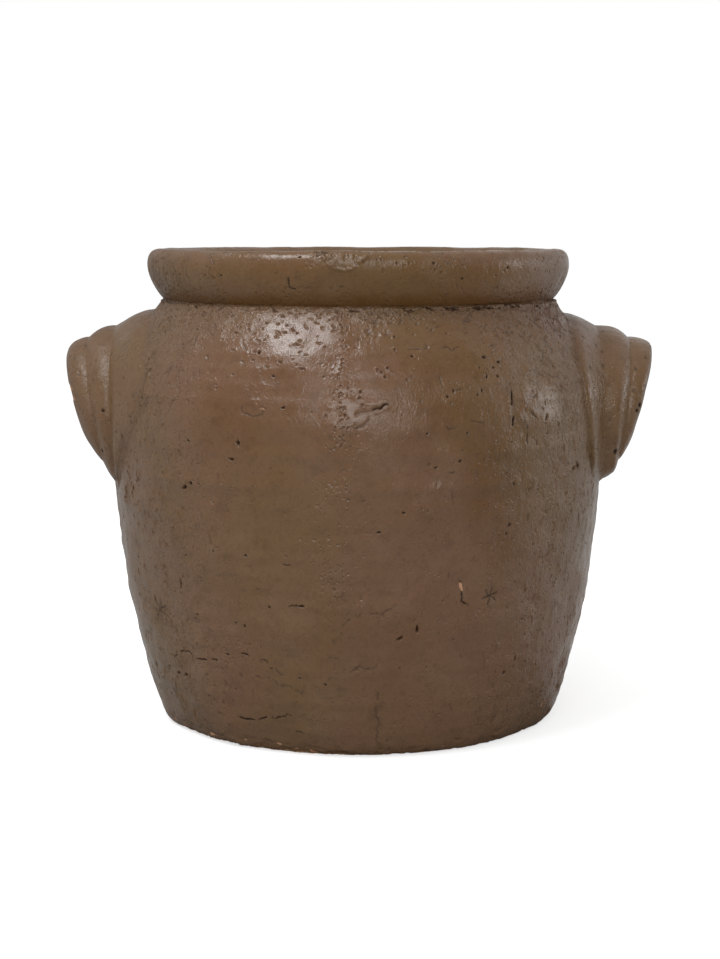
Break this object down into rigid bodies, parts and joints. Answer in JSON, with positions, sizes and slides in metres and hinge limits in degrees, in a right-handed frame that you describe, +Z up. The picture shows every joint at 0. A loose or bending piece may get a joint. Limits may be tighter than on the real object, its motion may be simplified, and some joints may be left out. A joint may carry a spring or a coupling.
{
  "type": "planter pot",
  "caption": "Wide bellied glazed clay planter with a narrow neck, rolled rim, drain hole and a ribbed arched lug on each side.",
  "frame": {"origin": "centre of the foot's underside, on the pot's axis", "axes": "+Z up along the pot's axis; -X and +X through the two lugs; -Y is the front, which carries one of the two wall seams"},
  "size_m": [0.3526, 0.295, 0.28],
  "materials": {
    "brown_glaze": "thin brown glaze over rough clay, soft gloss, pitted and crazed",
    "bare_clay": "matt unglazed terracotta"
  },
  "bodies": {
    "root": {"base_slab": "bare_clay", "left_wall_half": "brown_glaze", "right_wall_half": "brown_glaze", "rim_coil": "brown_glaze", "left_lug": "brown_glaze", "right_lug": "brown_glaze", "front_seam_coil": "bare_clay", "back_seam_coil": "bare_clay", "base_corner_coil": "bare_clay"}
  },
  "joints": []
}
